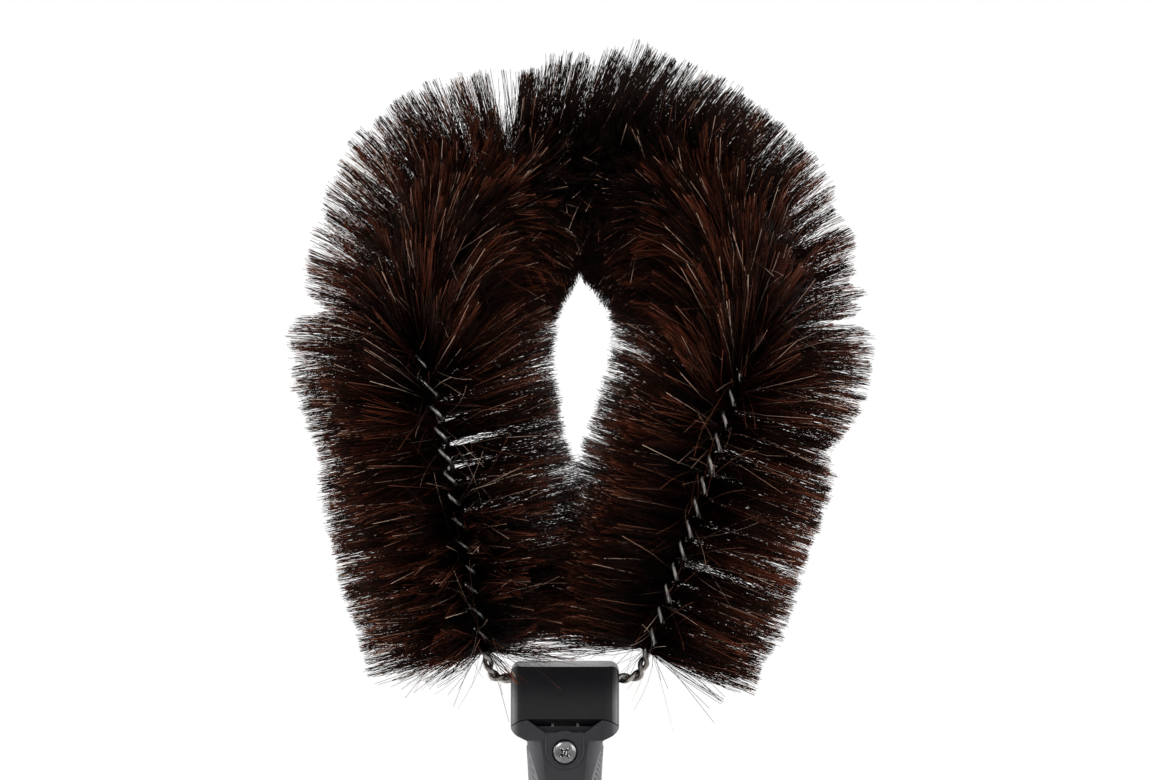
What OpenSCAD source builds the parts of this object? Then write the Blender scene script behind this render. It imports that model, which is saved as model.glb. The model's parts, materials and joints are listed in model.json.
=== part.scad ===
// Cobweb brush head: a loop of twisted wire full of bristles, carried by a
// block that tilts on the collar of a short handle. Millimetres, +Z up, the
// front faces -Y. The origin is the middle of the pole socket's mouth.

/* [Handle] */
// Length from the pole socket's mouth to the foot of the collar
handle_len = 150; // [140:1:170]
// Largest radius of the grip
grip_r = 15; // [14.8:0.1:16]
// Radius of the slim stretch under the head
waist_r = 12.9; // [12.8:0.1:13.4]
// Extra radius of the neck where it meets the collar
neck_flare = 1.7; // [1:0.1:2]
// Radius of the pole that the socket takes, with its clearance
pole_r = 11.1; // [10.5:0.1:11.1]
// Depth of the pole socket
socket_depth = 60; // [45:1:64]
// Thickness of the soft grip panels
panel_t = 1.4; // [1:0.1:1.6]

/* [Head block] */
// Width of the block between the wire entries
block_w = 41; // [40:1:44]
// Depth of the block, front to back
block_d = 24; // [24:0.5:26]
// Height of the tilt axis and wire entries over the foot of the collar
axis_up = 22; // [22:0.5:24]
// Height of the block's top over the tilt axis
top_up = 5.5; // [5:0.5:7]
// Height of the front parting line over the foot of the collar
parting_up = 7.8; // [7:0.2:9]
// Tilt each way that the slot in the block leaves free, degrees
tilt_max = 20; // [10:1:20]

/* [Wire loop] */
// Radius of each of the two wires
wire_r = 1; // [0.8:0.05:1.1]
// Length of core in which the two wires go once around each other
twist_pitch = 17.5; // [15:0.5:22]
// Radius at which the wires wind where the bristles hold them apart
hair_helix_r = 2.1; // [1.6:0.1:2.2]
// Extra turns of the bare wires at each foot
foot_turns = 1; // [0:1:2]
// Half of the arch's width, to the middle of the core
arch_a = 63; // [58:1:68]
// Half of the arch's full height, to the middle of the core
arch_b = 55; // [50:1:60]
// Height of the arch's centre over the tilt axis
arch_up = 136; // [125:1:145]
// Sideways set of the arch from the middle of the block
arch_shift = 7.5; // [0:0.5:8]
// Distance of each foot bend from the middle of the block
foot_x = 28; // [27:0.5:32]
// Radius of the foot bends
foot_r = 5; // [5:0.5:7]

/* [Bristles] */
// Length of the bristles from the middle of the core
hair_len = 49; // [42:1:52]
// Height over the tilt axis at which the bristles begin
hair_from = 12; // [10:1:20]
// Bristles in one turn of the twist
hairs_per_turn = 20; // [16:4:20]
// Turn to either side of the bristles that stand in front of the legs, degrees
part_turn = 34; // [0:1:34]
// Slope along the arch, towards its top, of the bristles in front
comb_slope = 1.1; // [0:0.1:1.1]

/* [Hidden] */
$fn = 96;

axis_z = handle_len + axis_up;
top_z = axis_z + top_up;
parting_z = handle_len + parting_up;

// The block's underside and the collar's cradle are arcs round the tilt axis
block_arc_r = sqrt(pow(block_d / 2, 2) + pow(axis_z - parting_z, 2));
cradle_gap = 0.35;
block_corner_r = 7;
top_corner_r = 3;

// Fine overshoot that keeps cutting faces apart
eps = 0.02;
// Farther than any part reaches, for cutting blocks
far = 400;

// Tongue, pivot and friction washers
tongue_w = 8.4;
eye_r = 4.2;
stem_half = 3;
washer_gap = 0.3;
washer_t = 0.8;
slot_half_w = tongue_w / 2 + washer_gap + washer_t;
pin_r = 2;
pin_run = 0.05;
pin_half_len = slot_half_w + 3;
eye_gap = 0.5;
foot_half_w = 7;
foot_half_d = 4;
foot_low = handle_len - 16;
foot_top = handle_len + 1;

// Crimped sleeves on the wire ends
crimp_r = 3.4;
crimp_in = pin_half_len + 0.7;
crimp_out = block_w / 2 - 1.4;
entry_r = 2.7;

// Clamp screw through the neck
screw_z = handle_len - 4.6;
screw_r = 2;
screw_head_r = 4.5;
screw_head_h = 2.4;
pad_r = 7;
pad_y = -block_d / 2;
head_seat_y = pad_y + 1.2;
nut_r = 4.05;
nut_h = 3.2;
nut_y = 6;

// Handle
ring_h = 9;
ring_seat_r = grip_r - 1.4;
sleeve_r = pole_r + 1.2;
sleeve_floor = 2;
neck_half_d = 11.4;

// Radius of the handle at a height: a full grip, a slim waist, a flared neck
function ease(a, b, t) = a + (b - a) * (1 - cos(180 * min(1, max(0, t)))) / 2;
function neck_r(z) = waist_r + neck_flare * pow(max(0, (z - waist_z) / (handle_len - waist_z)), 3);
waist_z = 0.62 * handle_len;
belly_z = 0.3 * handle_len;
function handle_r(z) = z < belly_z ? grip_r
    : z < waist_z ? ease(grip_r, waist_r, (z - belly_z) / (waist_z - belly_z))
    : neck_r(z);
profile_stops = 18;
profile_top = handle_len + 2;

// Body of revolution of the handle, stepped in at the foot for the end ring
module handle_round(inset = 0)
    rotate([0, 0, 45])
        rotate_extrude()
            polygon(concat(
                [[0, 0], [ring_seat_r - inset, 0], [ring_seat_r - inset, ring_h]],
                [for (i = [0:profile_stops])
                    let (z = ring_h + (profile_top - ring_h) * i / profile_stops)
                    [handle_r(z) - inset, z]],
                [[0, profile_top]]));

module along_x(length)
    rotate([90, 0, 90])
        translate([0, 0, -length / 2])
            linear_extrude(length)
                children();

module along_y(length)
    rotate([90, 0, 0])
        translate([0, 0, -length / 2])
            linear_extrude(length)
                children();

// Side view of the handle: full depth at the grip, flattened at the neck
module handle_side_view()
    polygon([
        [-grip_r - 1, -1], [grip_r + 1, -1],
        [grip_r + 1, belly_z + 18], [neck_half_d, waist_z + 14],
        [neck_half_d, handle_len + 3], [-neck_half_d, handle_len + 3],
        [-neck_half_d, waist_z + 14], [-grip_r - 1, belly_z + 18]
    ]);

// Plan of the block and collar: a rectangle with full round corners
module block_plan(inset = 0) {
    w = block_w / 2 - inset;
    d = block_d / 2 - inset;
    r = block_corner_r - inset;
    square([2 * w, 2 * (d - r)], center = true);
    square([2 * (w - r), 2 * d], center = true);
    for (sx = [-1, 1], sy = [-1, 1])
        translate([sx * (w - r), sy * (d - r)])
            circle(r);
}

module collar_front_view() {
    side = [
        [14.0, -3], [14.6, -0.3], [16.4, 0.5], [18.2, 1.3], [19.6, 2.4],
        [block_w / 2 - 0.2, 3.4], [block_w / 2, 4.4], [block_w / 2, 12]
    ];
    polygon(concat(
        [for (p = side) [p[0], handle_len + p[1]]],
        [for (i = [len(side) - 1:-1:0]) [-side[i][0], handle_len + side[i][1]]]));
}

// Notch in the collar's rim, front and back, wider at its mouth
module rim_notch_view() {
    notch_low = handle_len + 2.7;
    notch_high = parting_z + 0.6;
    polygon([
        [-7.7, notch_low], [7.7, notch_low], [15.4, notch_high],
        [15.4, far], [-15.4, far], [-15.4, notch_high]
    ]);
}

module collar()
    difference() {
        intersection() {
            translate([0, 0, handle_len - 0.4])
                linear_extrude(12.4)
                    block_plan();
            along_y(block_d + 2)
                collar_front_view();
        }
        translate([0, 0, axis_z])
            rotate([0, 90, 0])
                cylinder(h = block_w + 2, r = block_arc_r + cradle_gap, center = true);
        for (s = [-1, 1])
            translate([0, s * (block_d / 2 - 1), 0])
                along_y(7)
                    rim_notch_view();
        // nothing of the collar stands over the cradle's rim
        translate([0, 0, parting_z - 0.2 + far / 2])
            cube([far, far, far], center = true);
    }

// Flat pad that carries the screw, running down from the collar's front
module screw_pad()
    translate([0, pad_y / 2, 0]) {
        translate([0, 0, screw_z + 1])
            rotate([90, 0, 0])
                cylinder(h = -pad_y, r = pad_r, center = true);
        translate([0, 0, (screw_z + 1 + handle_len + 2.6) / 2])
            cube([2 * pad_r + 0.8, -pad_y, handle_len + 1.6 - screw_z], center = true);
    }

// Outline of a soft panel seen from the side, an ellipse at each end
panel_half_d = 10.6;
panel_low = ring_h + 4;
panel_high = handle_len - 2.5;
module panel_side_view() {
    arch_from = panel_high - 26;
    arch_to = panel_low + 14;
    steps = 10;
    ends = concat(
        [for (i = [0:steps]) let (a = 90 * i / steps)
            [panel_half_d * cos(a), arch_from + (panel_high - arch_from) * sin(a)]],
        [for (i = [1:steps]) let (a = 90 + 90 * i / steps)
            [panel_half_d * cos(a), arch_from + (panel_high - arch_from) * sin(a)]],
        [for (i = [0:steps]) let (a = 180 + 90 * i / steps)
            [panel_half_d * cos(a), arch_to + (arch_to - panel_low) * sin(a)]],
        [for (i = [1:steps]) let (a = 270 + 90 * i / steps)
            [panel_half_d * cos(a), arch_to + (arch_to - panel_low) * sin(a)]]);
    polygon(ends);
}

module panel_zone(side)
    translate([side * far / 2, 0, 0])
        along_x(far - 2 * eps)
            panel_side_view();

module handle_outer() {
    intersection() {
        handle_round();
        along_x(far)
            handle_side_view();
    }
    collar();
    screw_pad();
}

// Everything that the two handle shells hold, as one cutting body
module handle_hollows() {
    translate([0, 0, -1])
        cylinder(h = socket_depth + sleeve_floor + 1, r = sleeve_r);
    translate([0, 0, (foot_low + foot_top) / 2])
        cube([2 * foot_half_w, 2 * foot_half_d, foot_top - foot_low], center = true);
    translate([0, 0, foot_top + 10 - eps])
        cube([tongue_w, 2 * stem_half, 20], center = true);
    // screw shank, head seat and nut pocket
    translate([0, 0, screw_z])
        rotate([90, 0, 0]) {
            translate([0, 0, -nut_y - nut_h])
                cylinder(h = far, r = screw_r + 0.1);
            translate([0, 0, -head_seat_y])
                cylinder(h = far, r = screw_head_r + 0.45);
            translate([0, 0, -nut_y - nut_h])
                rotate([0, 0, 30])
                    cylinder(h = nut_h, r = nut_r, $fn = 6);
            translate([0, 0, -far])
                cylinder(h = far - nut_y - nut_h + eps, r = 2.6);
        }
    // soft panels lie in recesses across the seam
    for (s = [-1, 1])
        difference() {
            panel_zone(s);
            handle_round(panel_t);
        }
}

module half_space(side)
    translate([0, side * far / 2, 0])
        cube([far, far, 2 * far], center = true);

module front_shell()
    color([0.13, 0.13, 0.14])
        intersection() {
            difference() {
                handle_outer();
                handle_hollows();
            }
            half_space(-1);
        }

module rear_shell()
    color([0.13, 0.13, 0.14])
        intersection() {
            difference() {
                handle_outer();
                handle_hollows();
            }
            half_space(1);
        }

module grip_panel(side)
    intersection() {
        panel_zone(side);
        difference() {
            intersection() {
                handle_round();
                along_x(far)
                    handle_side_view();
            }
            handle_round(panel_t);
        }
    }

module left_grip_panel()
    color([0.30, 0.30, 0.32])
        grip_panel(-1);

module right_grip_panel()
    color([0.30, 0.30, 0.32])
        grip_panel(1);

module pole_sleeve()
    color([0.20, 0.20, 0.21])
        difference() {
            cylinder(h = socket_depth + sleeve_floor, r = sleeve_r);
            translate([0, 0, -1])
                cylinder(h = socket_depth + 1, r = pole_r);
        }

module end_ring()
    color([0.16, 0.16, 0.17])
        rotate_extrude()
            polygon([
                [ring_seat_r, 0], [grip_r - 0.4, 0], [grip_r + 0.3, 0.8],
                [grip_r + 0.5, 2.5], [grip_r + 0.5, ring_h - 1.4],
                [grip_r + 0.2, ring_h - 0.3], [grip_r - 0.2, ring_h], [ring_seat_r, ring_h]
            ]);

module tilt_tongue()
    color([0.22, 0.22, 0.23])
        difference() {
            union() {
                translate([0, 0, axis_z])
                    rotate([0, 90, 0])
                        cylinder(h = tongue_w, r = eye_r, center = true);
                translate([0, 0, (foot_top + axis_z) / 2])
                    cube([tongue_w, 2 * stem_half, axis_z - foot_top + eps], center = true);
                translate([0, 0, (foot_low + foot_top) / 2])
                    cube([2 * foot_half_w, 2 * foot_half_d, foot_top - foot_low], center = true);
            }
            translate([0, 0, axis_z])
                rotate([0, 90, 0])
                    cylinder(h = 2 * tongue_w, r = pin_r + pin_run, center = true);
            translate([0, 0, screw_z])
                rotate([90, 0, 0])
                    cylinder(h = 4 * foot_half_d, r = screw_r + 0.1, center = true);
        }

module clamp_screw()
    color([0.78, 0.78, 0.80])
        translate([0, head_seat_y, screw_z])
            rotate([90, 0, 0])
                difference() {
                    union() {
                        translate([0, 0, -(nut_y + nut_h - head_seat_y) + 0.2])
                            cylinder(h = nut_y + nut_h - head_seat_y, r = screw_r);
                        rotate_extrude()
                            polygon([
                                [0, 0], [screw_head_r, 0], [screw_head_r, 0.9],
                                [screw_head_r - 0.3, 1.5], [screw_head_r - 1.1, 2.0],
                                [screw_head_r - 2.4, 2.3], [0, screw_head_h]
                            ]);
                    }
                    // cross recess
                    for (turn = [45, 135])
                        rotate([0, 0, turn])
                            translate([0, 0, screw_head_h])
                                cube([5, 1.1, 2.8], center = true);
                }

module clamp_nut()
    color([0.70, 0.70, 0.72])
        translate([0, nut_y, screw_z])
            rotate([-90, 30, 0])
                difference() {
                    cylinder(h = nut_h, r = nut_r, $fn = 6);
                    translate([0, 0, -1])
                        cylinder(h = nut_h + 2, r = screw_r);
                }

// Front view of the block: straight sides, round top corners
module block_front_view() {
    half = block_w / 2;
    low = axis_z - block_arc_r - 1;
    translate([-half, low])
        square([2 * half, top_z - top_corner_r - low]);
    translate([-half + top_corner_r, low])
        square([2 * (half - top_corner_r), top_z - low]);
    for (s = [-1, 1])
        translate([s * (half - top_corner_r), top_z - top_corner_r])
            circle(top_corner_r);
}

module block_outer()
    intersection() {
        translate([0, 0, axis_z - block_arc_r - 1])
            linear_extrude(far)
                block_plan();
        along_y(block_d + 2)
            block_front_view();
        union() {
            translate([0, 0, axis_z])
                rotate([0, 90, 0])
                    cylinder(h = block_w + 2, r = block_arc_r, center = true);
            translate([0, 0, axis_z + far / 2])
                cube([far, far, far], center = true);
        }
    }

// Room in the block for the tongue at every tilt: the stem's strip, turned
// each way about the axis, and all between
module tongue_room() {
    reach = block_arc_r + 4;
    half = stem_half + eye_gap;
    near = half * [cos(tilt_max), sin(tilt_max)];
    down = near + reach * [sin(tilt_max), -cos(tilt_max)];
    translate([0, 0, axis_z])
        along_x(2 * slot_half_w) {
            circle(eye_r + eye_gap);
            polygon([near, down, [-down[0], down[1]], [-near[0], near[1]]]);
        }
}

head_screw_x = 13.5;
head_screw_z = axis_z - 8.5;
head_screw_r = 1.5;
head_screw_head_r = 2.8;
head_screw_seat = block_d / 2 - 4;
head_screw_tip = -block_d / 2 + 4;

module block_hollows() {
    tongue_room();
    translate([0, 0, axis_z])
        rotate([0, 90, 0]) {
            cylinder(h = 2 * pin_half_len, r = pin_r, center = true);
            for (s = [-1, 1])
                translate([0, 0, s * (crimp_in + crimp_out) / 2])
                    cylinder(h = crimp_out - crimp_in, r = crimp_r, center = true);
            for (s = [-1, 1])
                translate([0, 0, s * (crimp_out + block_w / 2 + 1) / 2])
                    cylinder(h = block_w / 2 + 1 - crimp_out + 2 * eps, r = entry_r, center = true);
        }
    for (s = [-1, 1])
        translate([s * head_screw_x, 0, head_screw_z])
            rotate([-90, 0, 0]) {
                translate([0, 0, head_screw_tip])
                    cylinder(h = far, r = head_screw_r);
                translate([0, 0, head_screw_seat])
                    cylinder(h = far, r = head_screw_head_r + 0.2);
            }
}

module head_front_shell()
    color([0.10, 0.10, 0.11])
        intersection() {
            difference() {
                block_outer();
                block_hollows();
            }
            half_space(-1);
        }

module head_rear_shell()
    color([0.10, 0.10, 0.11])
        intersection() {
            difference() {
                block_outer();
                block_hollows();
            }
            half_space(1);
        }

module head_screws()
    color([0.62, 0.62, 0.64])
        for (s = [-1, 1])
            translate([s * head_screw_x, 0, head_screw_z])
                rotate([-90, 0, 0])
                    difference() {
                        union() {
                            translate([0, 0, head_screw_tip])
                                cylinder(h = head_screw_seat - head_screw_tip + eps, r = head_screw_r);
                            translate([0, 0, head_screw_seat])
                                cylinder(h = 1.8, r = head_screw_head_r);
                        }
                        for (turn = [0, 90])
                            rotate([0, 0, turn])
                                translate([0, 0, head_screw_seat + 1.8])
                                    cube([3, 0.6, 1.8], center = true);
                    }

module pivot_pin()
    color([0.72, 0.72, 0.74])
        translate([0, 0, axis_z])
            rotate([0, 90, 0])
                cylinder(h = 2 * pin_half_len, r = pin_r, center = true);

module friction_washers()
    color([0.55, 0.45, 0.25])
        translate([0, 0, axis_z])
            rotate([0, 90, 0])
                for (s = [-1, 1])
                    translate([0, 0, s * (slot_half_w - washer_t / 2)])
                        difference() {
                            cylinder(h = washer_t, r = eye_r - 0.4, center = true);
                            cylinder(h = washer_t + 1, r = pin_r, center = true);
                        }

module crimp(side)
    translate([side * (crimp_in + crimp_out) / 2, 0, axis_z])
        rotate([0, 90, 0])
            difference() {
                cylinder(h = crimp_out - crimp_in, r = crimp_r, center = true);
                cylinder(h = crimp_out, r = foot_helix_r + wire_r, center = true);
            }

module left_crimp()
    color([0.66, 0.66, 0.68])
        crimp(-1);

module right_crimp()
    color([0.66, 0.66, 0.68])
        crimp(1);

// Course of the loop's middle line, in the plane Y = 0, as [x, z] points
arch_c = [arch_shift, axis_z + arch_up];
function unit(v) = v / norm(v);
function arch_at(t) = arch_c + [arch_a * cos(t), arch_b * sin(t)];

// Where a line from p touches the arch, on the side given by its sign
function touch(p, side) =
    let (q = [(p[0] - arch_c[0]) / arch_a, (p[1] - arch_c[1]) / arch_b])
    atan2(q[1], q[0]) + side * acos(1 / norm(q));

// Round bend of radius r at corner v between p and q, from p's side to q's
function bend(p, v, q, r, n) =
    let (a = unit(p - v), b = unit(q - v))
    let (half = acos(a * b) / 2)
    let (c = v + unit(a + b) * r / sin(half))
    let (from = v + a * r / tan(half) - c, to = v + b * r / tan(half) - c)
    [for (i = [0:n]) let (t = i / n) c + r * unit(from * (1 - t) + to * t)];

left_corner = [-foot_x, axis_z];
right_corner = [foot_x, axis_z];
left_touch = touch(left_corner, -1) + 360;
right_touch = touch(right_corner, 1);
arch_steps = 90;
bend_steps = 8;
wire_end = crimp_in + 0.3;
route = concat(
    [[-wire_end, axis_z]],
    bend([0, axis_z], left_corner, arch_at(left_touch), foot_r, bend_steps),
    [for (i = [0:arch_steps]) arch_at(left_touch + (right_touch - left_touch) * i / arch_steps)],
    bend(arch_at(right_touch), right_corner, [0, axis_z], foot_r, bend_steps),
    [[wire_end, axis_z]]);

// Distance along the route to each of its points
mile = [for (i = 0, s = 0; i < len(route);
    s = s + (i + 1 < len(route) ? norm(route[i + 1] - route[i]) : 0), i = i + 1) s];
route_len = mile[len(mile) - 1];

// Stretch of the route that holds the distance s, by halving
function stretch(s, low = 0, high = len(route) - 1) =
    high - low < 2 ? low
    : let (mid = floor((low + high) / 2))
      mile[mid] > s ? stretch(s, low, mid) : stretch(s, mid, high);
function route_at(s) =
    let (c = min(route_len, max(0, s)), i = stretch(c))
    route[i] + (route[i + 1] - route[i]) * (c - mile[i]) / (mile[i + 1] - mile[i]);
function along(s) = unit(route_at(s + 0.8) - route_at(s - 0.8));

// Twisted pair: left-handed, so the strokes seen from the front run down
// to the right, and wound tighter and closer where it is bare at each foot
turns = round(route_len / twist_pitch);
pitch = route_len / turns;
foot_helix_r = wire_r + 0.25;
foot_stretch = 26;
// Shares of that stretch where the pair starts to open and over which it opens
open_from = 0.7;
open_over = 0.8;
function ramp(t) = min(1, max(0, t));
function smooth(t) = let (c = ramp(t)) c * c * (3 - 2 * c);
function twist_at(s) = 90 + 360 * (s / pitch
    + foot_turns * (ramp(s / foot_stretch) - ramp((route_len - s) / foot_stretch)));
function helix_at(s) = foot_helix_r + (hair_helix_r - foot_helix_r)
    * smooth((min(s, route_len - s) / foot_stretch - open_from) / open_over);

// Distance along the route at which the pair has made u turns
all_turns = turns + 2 * foot_turns;
foot_share = foot_stretch / pitch + foot_turns;
function distance_at(u) = u < foot_share ? u / foot_share * foot_stretch
    : u > all_turns - foot_share ? route_len - (all_turns - u) / foot_share * foot_stretch
    : foot_stretch + (u - foot_share) * pitch;
lay_stretch = sqrt(1 + pow(2 * PI * hair_helix_r / pitch, 2));

// Point at distance s, moved out by r at angle a and then by side across it
function round_core(s, a, r, side = 0) =
    let (c = route_at(s), t = along(s))
    let (n = [-t[1], 0, t[0]], y = [0, 1, 0])
    [c[0], 0, c[1]] + n * (r * cos(a) - side * sin(a)) + y * (r * sin(a) + side * cos(a));

rings_per_turn = 8;
wire_sides = 6;
wire_rings = all_turns * rings_per_turn;
function wire_points(phase) = [
    for (i = [0:wire_rings])
        let (s = distance_at(i / rings_per_turn), a = twist_at(s) + phase)
        for (j = [0:wire_sides - 1])
            let (b = 360 * j / wire_sides)
            round_core(s, a, helix_at(s) - wire_r * cos(b), wire_r * lay_stretch * sin(b))
];

// Faces of a closed tube of rings of k points
function tube_faces(rings, k) = concat(
    [[for (j = [0:k - 1]) j]],
    [for (i = [0:rings - 1], j = [0:k - 1])
        let (a = i * k + j, b = i * k + (j + 1) % k)
        each [[a, a + k, b + k], [a, b + k, b]]],
    [[for (j = [k - 1:-1:0]) rings * k + j]]);

module wire(phase)
    polyhedron(points = wire_points(phase), faces = tube_faces(wire_rings, wire_sides));

module wire_a()
    color([0.74, 0.72, 0.70])
        wire(0);

module wire_b()
    color([0.74, 0.72, 0.70])
        wire(180);

// Least gap of one wire to itself, between points half a turn or more apart
wire_mids = [for (i = [0:wire_rings]) let (s = distance_at(i / rings_per_turn))
    round_core(s, twist_at(s), helix_at(s))];
self_gap = min([for (i = [0:wire_rings - 4], j = [i + 4:wire_rings])
    norm(wire_mids[i] - wire_mids[j])]) - 2 * wire_r;
echo(wire_turns = turns, wire_self_gap = self_gap);

// Bristles: a thin ribbon pinched between the wires, with one bristle on
// each short length of it, to one side and to the other by turns
ribbon_half_t = 0.25;
ribbon_half_d = 0.45;
tip_half = 0.38;
hair_step = pitch / hairs_per_turn;
hair_start = hair_from_distance(0);
hair_end = route_len - hair_from_distance(1);
hair_groups = 8;
hairs_per_group = floor((hair_end - hair_start) / hair_step / hair_groups);
hair_first = (hair_start + hair_end - hairs_per_group * hair_groups * hair_step) / 2;

// Distance from an end of the route to where the bristles begin
function hair_from_distance(end) =
    let (i = [for (k = [0:len(route) - 1])
        if (route[end == 0 ? k : len(route) - 1 - k][1] >= axis_z + foot_r) k][0])
    let (p = route[end == 0 ? i : len(route) - 1 - i],
         q = route[end == 0 ? i + 1 : len(route) - 2 - i])
    let (walked = end == 0 ? mile[i] : route_len - mile[len(route) - 1 - i])
    walked + norm(q - p) * (axis_z + hair_from - p[1]) / (q[1] - p[1]);

// Longest bristle inwards at the arch's sides, and how much shorter at its top
inner_len = 46;
inner_top_less = 10;
// Room left between the bristles of the two legs, on each side
middle_gap = 1.2;

// Free length inwards from the core, so that no bristle meets another:
// half way to the other leg, and short of where the arch's normals meet
function room_inwards(s) =
    let (c = route_at(s), t = along(s))
    let (mid_x = arch_shift * (c[1] - axis_z) / arch_up)
    let (across = abs(mid_x - c[0]) / max(0.05, abs(t[1])) - middle_gap)
    let (in_arch = inner_len - inner_top_less * smooth((c[1] - arch_c[1]) / arch_b))
    c[1] > arch_c[1] ? in_arch
        : c[1] > arch_c[1] - arch_b / 4 ? min(in_arch, across) : across;

// Depth below the arch's centre where the combing starts, and its run upwards
comb_below = 50;
comb_run = 44;
// Width of the fan that the parting moves, degrees
part_width = 40;
// Distance from the top within which the slope falls off, and the least slope
comb_fade = 75;
comb_least = 0.1;

// Direction of a bristle that leaves the core at angle a. On the legs those
// in front are parted to both sides, round the arch they are combed upwards
function bristle_aim(s, a) =
    let (c = route_at(s), t = along(s), arch = smooth((c[1] - arch_c[1] + comb_below) / comb_run))
    let (off = a + 90 - 360 * floor((a + 270) / 360))
    let (push = part_turn * (1 - arch) * exp(-pow(off / part_width, 2)))
    let (b = off - 90 + (off >= 0 ? push : -push))
    let (front = max(0, -sin(b)), rise = min(1, max(-1, (route_top - s) / comb_fade)))
    let (slope = rise * arch * (comb_least + comb_slope * front * front))
    unit([-t[1] * cos(b) + t[0] * slope, sin(b), t[0] * cos(b) + t[1] * slope]);

// Distance along the route of its highest point
route_top = [for (i = [1:len(route) - 1]) if (route[i][1] < route[i - 1][1]) mile[i - 1]][0];

// Uneven trim of the bristles, from one to the next
trim_share = 0.02;
trim_turn = 137;
function bristle_len(s, aim, k) =
    let (full = hair_len * (1 - trim_share + trim_share * sin(trim_turn * k)), t = along(s))
    let (inwards = aim[0] * t[1] - aim[2] * t[0])
    inwards < 0.05 ? full : min(full, room_inwards(s) / inwards);

ring_side = [[1, 1], [-1, 1], [-1, -1], [1, -1]];
function bristle_points(first) = concat(
    [for (i = [0:hairs_per_group])
        let (s = hair_first + (first + i) * hair_step, a = twist_at(s) + 90)
        for (p = ring_side)
            round_core(s, a, p[0] * ribbon_half_d, p[1] * ribbon_half_t)],
    [for (i = [0:hairs_per_group - 1])
        let (k = first + i, s = hair_first + (k + 0.5) * hair_step)
        let (aim = bristle_aim(s, twist_at(s) + 90 + (k % 2 == 0 ? 0 : 180)))
        let (c = route_at(s), t = along(s), end = [c[0], 0, c[1]] + aim * bristle_len(s, aim, k))
        let (side = unit(cross(aim, [t[0], 0, t[1]])), ahead = cross(side, aim))
        for (p = ring_side)
            end + tip_half * (p[1] * side + p[0] * ahead)]);

// Faces of a ribbon of n stretches; the stretch's odd or even side opens
// into a bristle of four sides
function bristle_faces(n, first) = concat(
    [[0, 1, 2], [0, 2, 3]],
    [for (i = [0:n - 1])
        let (a = 4 * i, b = 4 * i + 4, tip = 4 * (n + 1) + 4 * i)
        let (even = (first + i) % 2 == 0)
        each concat(
            // side towards +t
            [[a + 0, b + 0, b + 1], [a + 0, b + 1, a + 1]],
            // side towards -t
            [[a + 2, b + 2, b + 3], [a + 2, b + 3, a + 3]],
            even
                ? concat([[a + 1, b + 1, b + 2], [a + 1, b + 2, a + 2]],
                         bristle_walls([a + 0, a + 3, b + 3, b + 0], [tip + 1, tip + 2, tip + 3, tip + 0]))
                : concat([[a + 3, b + 3, b + 0], [a + 3, b + 0, a + 0]],
                         bristle_walls([a + 2, a + 1, b + 1, b + 2], [tip + 1, tip + 2, tip + 3, tip + 0])))],
    [[4 * n + 0, 4 * n + 2, 4 * n + 1], [4 * n + 0, 4 * n + 3, 4 * n + 2]]);

// Four walls from a foot ring to a tip ring, and the tip's face
function bristle_walls(foot, tip) = concat(
    [for (j = [0:3]) let (k = (j + 1) % 4)
        each [[foot[j], foot[k], tip[k]], [foot[j], tip[k], tip[j]]]],
    [[tip[0], tip[1], tip[2]], [tip[0], tip[2], tip[3]]]);

module bristles(group)
    color([0.16, 0.09, 0.07])
        polyhedron(
            points = bristle_points(group * hairs_per_group),
            faces = bristle_faces(hairs_per_group, group * hairs_per_group));
echo(bristle_count = hairs_per_group * hair_groups);

front_shell();
rear_shell();
left_grip_panel();
right_grip_panel();
pole_sleeve();
end_ring();
tilt_tongue();
clamp_screw();
clamp_nut();
head_front_shell();
head_rear_shell();
head_screws();
pivot_pin();
friction_washers();
left_crimp();
right_crimp();
wire_a();
wire_b();
bristles(0);  // bristles_1
bristles(1);  // bristles_2
bristles(2);  // bristles_3
bristles(3);  // bristles_4
bristles(4);  // bristles_5
bristles(5);  // bristles_6
bristles(6);  // bristles_7
bristles(7);  // bristles_8
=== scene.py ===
import json
import math

import bpy
import numpy as np
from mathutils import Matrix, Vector


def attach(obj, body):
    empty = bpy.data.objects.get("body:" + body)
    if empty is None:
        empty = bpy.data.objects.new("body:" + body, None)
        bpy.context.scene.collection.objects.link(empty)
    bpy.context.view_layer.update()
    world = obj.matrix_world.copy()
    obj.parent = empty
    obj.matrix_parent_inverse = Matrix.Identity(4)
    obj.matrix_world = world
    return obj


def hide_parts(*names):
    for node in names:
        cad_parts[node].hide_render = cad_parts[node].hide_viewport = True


# Cobweb brush: a loop of twisted wire full of horsehair on a tilting head
# block. Metres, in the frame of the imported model: +Z up, the front faces -Y.

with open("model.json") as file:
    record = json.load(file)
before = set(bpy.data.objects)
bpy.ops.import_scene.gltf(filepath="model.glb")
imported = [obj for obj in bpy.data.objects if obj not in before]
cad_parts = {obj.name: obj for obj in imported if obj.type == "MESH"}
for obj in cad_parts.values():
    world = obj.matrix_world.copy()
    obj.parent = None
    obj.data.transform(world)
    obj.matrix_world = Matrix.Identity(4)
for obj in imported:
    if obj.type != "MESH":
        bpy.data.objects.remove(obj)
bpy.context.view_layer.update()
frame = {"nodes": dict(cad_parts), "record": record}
MM = 0.001

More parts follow.
